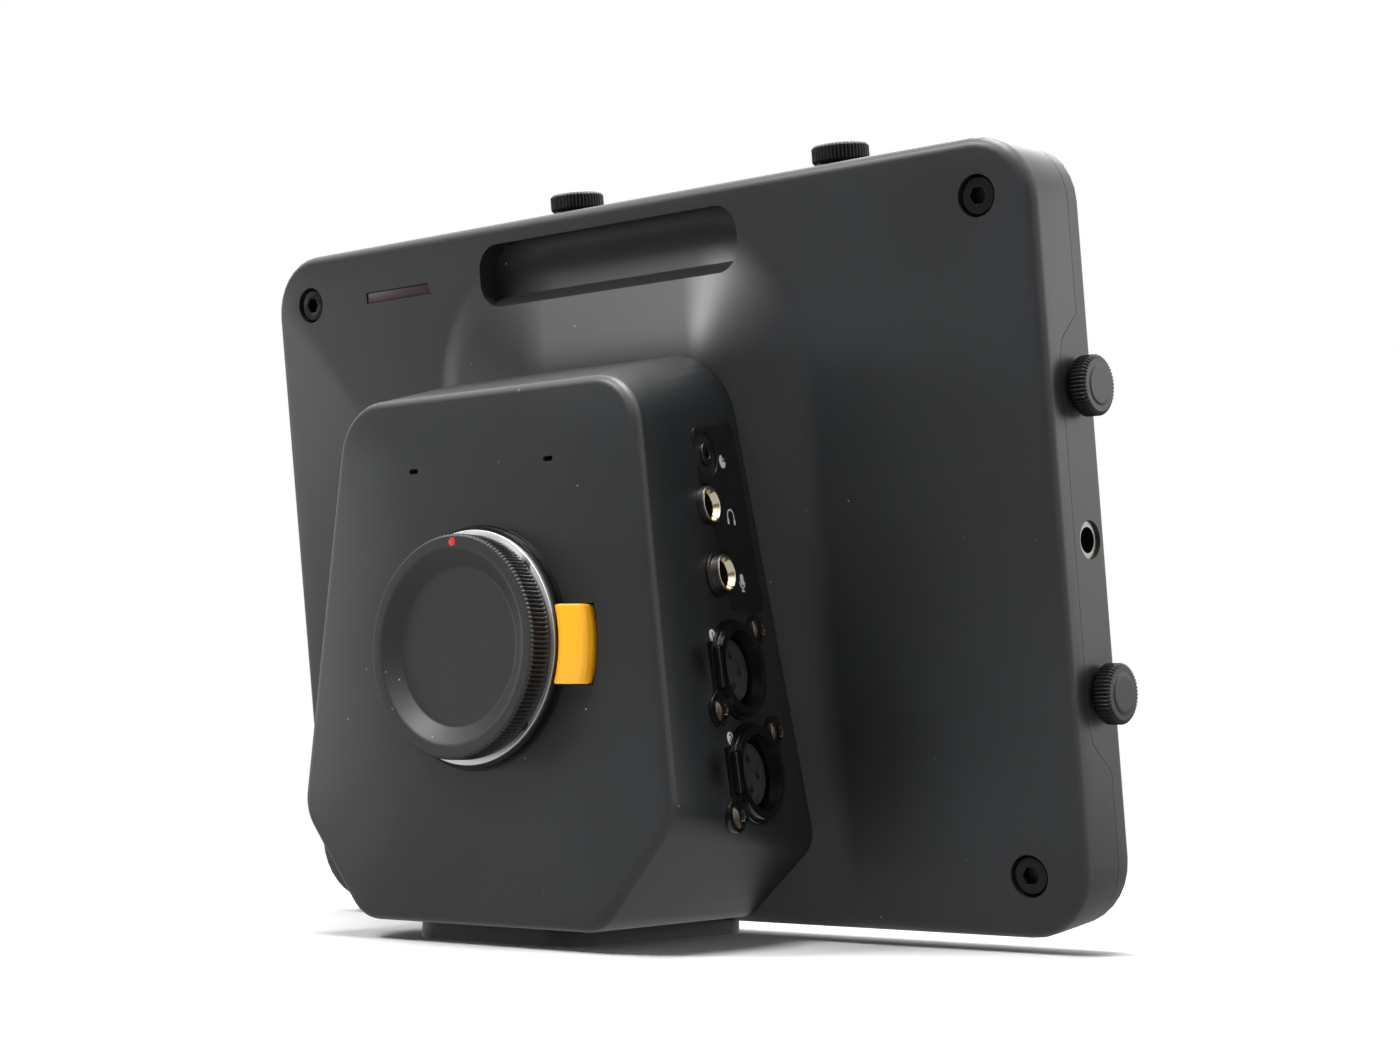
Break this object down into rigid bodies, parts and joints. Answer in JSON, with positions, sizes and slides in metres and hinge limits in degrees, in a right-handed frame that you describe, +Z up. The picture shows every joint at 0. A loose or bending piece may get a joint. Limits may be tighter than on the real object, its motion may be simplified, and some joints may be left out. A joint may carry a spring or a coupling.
{
  "type": "studio camera",
  "caption": "Studio camera with a tapered cast nose on a wide leaning display tray, a capped lens mount, audio sockets on the side wall and threaded accessory points round the rim.",
  "frame": {"origin": "centre of the tripod thread's mouth, on the surface that the camera stands on", "axes": "the lens looks along -Y, +X is to the right of someone who faces the lens and lies along the tray's width, +Z is up"},
  "size_m": [0.2786, 0.1023, 0.2038],
  "materials": {
    "casting": "satin",
    "rear_casting": "satin",
    "base_steel": "satin",
    "black_metal": "satin",
    "black_steel": "satin",
    "bright_steel": "polished",
    "plain_steel": "satin",
    "brass_bush": "satin",
    "nickel": "polished",
    "cap_plastic": "matte",
    "black_plastic": "semi-gloss",
    "insert_plastic": "matte",
    "orange_plastic": "semi-gloss",
    "red_window": "semi-gloss",
    "label": "matte",
    "board": "matte",
    "chip": "gloss",
    "filter_glass": "clear",
    "display_glass": "gloss",
    "display": "matte",
    "heat_sink": "satin",
    "battery": "matte"
  },
  "bodies": {
    "camera": {"front_housing": "casting", "rear_housing": "rear_casting", "base_plate": "base_steel", "base_screws": "black_steel", "corner_screws": "black_steel", "thread_inserts": "brass_bush", "tally_window": "red_window", "mount_ring": "black_metal", "bayonet_ring": "bright_steel", "mount_screws": "plain_steel", "sensor_frame": "plain_steel", "sensor_board": "board", "image_sensor": "chip", "sensor_filter": "filter_glass", "connector_plate": "label", "remote_jack": "black_plastic", "headphone_jack": "nickel", "mic_jack": "nickel", "xlr_1_shell": "black_plastic", "xlr_2_shell": "black_plastic", "xlr_1_insert": "insert_plastic", "xlr_2_insert": "insert_plastic", "connector_screws": "black_steel", "output_plate": "label", "sdi_out": "nickel", "sdi_in": "nickel", "reference_in": "nickel", "optical_port": "plain_steel", "power_socket": "black_plastic", "main_board": "board", "heat_sink": "heat_sink", "fan_frame": "insert_plastic", "battery_pack": "battery", "microphones": "plain_steel", "tally_board": "board", "lcd_module": "display", "cover_glass": "display_glass", "button_board": "board"},
    "body_cap": {"body_cap": "cap_plastic"},
    "lens_release": {"lens_release": "orange_plastic", "lock_pin": "plain_steel"},
    "fan_rotor": {"fan_rotor": "insert_plastic"},
    "xlr_1_latch": {"xlr_1_latch": "black_plastic"},
    "xlr_2_latch": {"xlr_2_latch": "black_plastic"},
    "thumbscrew_top_left": {"thumbscrew_top_left": "black_metal"},
    "thumbscrew_top_right": {"thumbscrew_top_right": "black_metal"},
    "thumbscrew_right_upper": {"thumbscrew_right_upper": "black_metal"},
    "thumbscrew_right_lower": {"thumbscrew_right_lower": "black_metal"},
    "thumbscrew_left_upper": {"thumbscrew_left_upper": "black_metal"},
    "thumbscrew_left_lower": {"thumbscrew_left_lower": "black_metal"},
    "button_power": {"button_power": "black_plastic"},
    "button_menu": {"button_menu": "black_plastic"},
    "button_down": {"button_down": "black_plastic"},
    "button_up": {"button_up": "black_plastic"},
    "button_display": {"button_display": "black_plastic"},
    "button_focus": {"button_focus": "black_plastic"},
    "button_iris": {"button_iris": "black_plastic"}
  },
  "joints": [
    {"name": "cap_turn", "type": "hinge", "parent": "camera", "child": "body_cap", "pos_m": [0, -0.0512, 0.0739], "axis": [0, -1, 0], "range_deg": [0, 40]},
    {"name": "release_press", "type": "slide", "parent": "camera", "child": "lens_release", "axis": [0, 1, 0], "range_m": [0, 0.002], "stiffness_N_per_m": 600},
    {"name": "right_upper_screw_turn", "type": "hinge", "parent": "camera", "child": "thumbscrew_right_upper", "pos_m": [0.1331, 0.02019, 0.13556], "axis": [1, 0, 0], "continuous": true},
    {"name": "right_lower_screw_turn", "type": "hinge", "parent": "camera", "child": "thumbscrew_right_lower", "pos_m": [0.1331, 0.02983, 0.06229], "axis": [1, 0, 0], "continuous": true},
    {"name": "left_upper_screw_turn", "type": "hinge", "parent": "camera", "child": "thumbscrew_left_upper", "pos_m": [-0.1331, 0.02019, 0.13556], "axis": [-1, 0, 0], "continuous": true},
    {"name": "left_lower_screw_turn", "type": "hinge", "parent": "camera", "child": "thumbscrew_left_lower", "pos_m": [-0.1331, 0.02983, 0.06229], "axis": [-1, 0, 0], "continuous": true},
    {"name": "top_left_screw_turn", "type": "hinge", "parent": "camera", "child": "thumbscrew_top_left", "pos_m": [-0.0215, 0.01212, 0.19683], "axis": [0, -0.1305, 0.9914], "continuous": true},
    {"name": "top_right_screw_turn", "type": "hinge", "parent": "camera", "child": "thumbscrew_top_right", "pos_m": [0.0691, 0.01212, 0.19683], "axis": [0, -0.1305, 0.9914], "continuous": true},
    {"name": "xlr_1_latch_press", "type": "slide", "parent": "camera", "child": "xlr_1_latch", "axis": [-0.973, -0.1802, -0.1439], "range_m": [0, 0.0012], "stiffness_N_per_m": 300},
    {"name": "xlr_2_latch_press", "type": "slide", "parent": "camera", "child": "xlr_2_latch", "axis": [-0.9755, -0.1669, -0.1435], "range_m": [0, 0.0012], "stiffness_N_per_m": 300},
    {"name": "fan_spin", "type": "hinge", "parent": "camera", "child": "fan_rotor", "pos_m": [0, 0.00469, 0.08167], "axis": [0, 0.9914, 0.1305], "continuous": true},
    {"name": "button_power_press", "type": "slide", "parent": "camera", "child": "button_power", "axis": [0, -0.9914, -0.1305], "range_m": [0, 0.0007], "stiffness_N_per_m": 700},
    {"name": "button_menu_press", "type": "slide", "parent": "camera", "child": "button_menu", "axis": [0, -0.9914, -0.1305], "range_m": [0, 0.0007], "stiffness_N_per_m": 700},
    {"name": "button_down_press", "type": "slide", "parent": "camera", "child": "button_down", "axis": [0, -0.9914, -0.1305], "range_m": [0, 0.0007], "stiffness_N_per_m": 700},
    {"name": "button_up_press", "type": "slide", "parent": "camera", "child": "button_up", "axis": [0, -0.9914, -0.1305], "range_m": [0, 0.0007], "stiffness_N_per_m": 700},
    {"name": "button_display_press", "type": "slide", "parent": "camera", "child": "button_display", "axis": [0, -0.9914, -0.1305], "range_m": [0, 0.0007], "stiffness_N_per_m": 700},
    {"name": "button_focus_press", "type": "slide", "parent": "camera", "child": "button_focus", "axis": [0, -0.9914, -0.1305], "range_m": [0, 0.0007], "stiffness_N_per_m": 700},
    {"name": "button_iris_press", "type": "slide", "parent": "camera", "child": "button_iris", "axis": [0, -0.9914, -0.1305], "range_m": [0, 0.0007], "stiffness_N_per_m": 700}
  ]
}
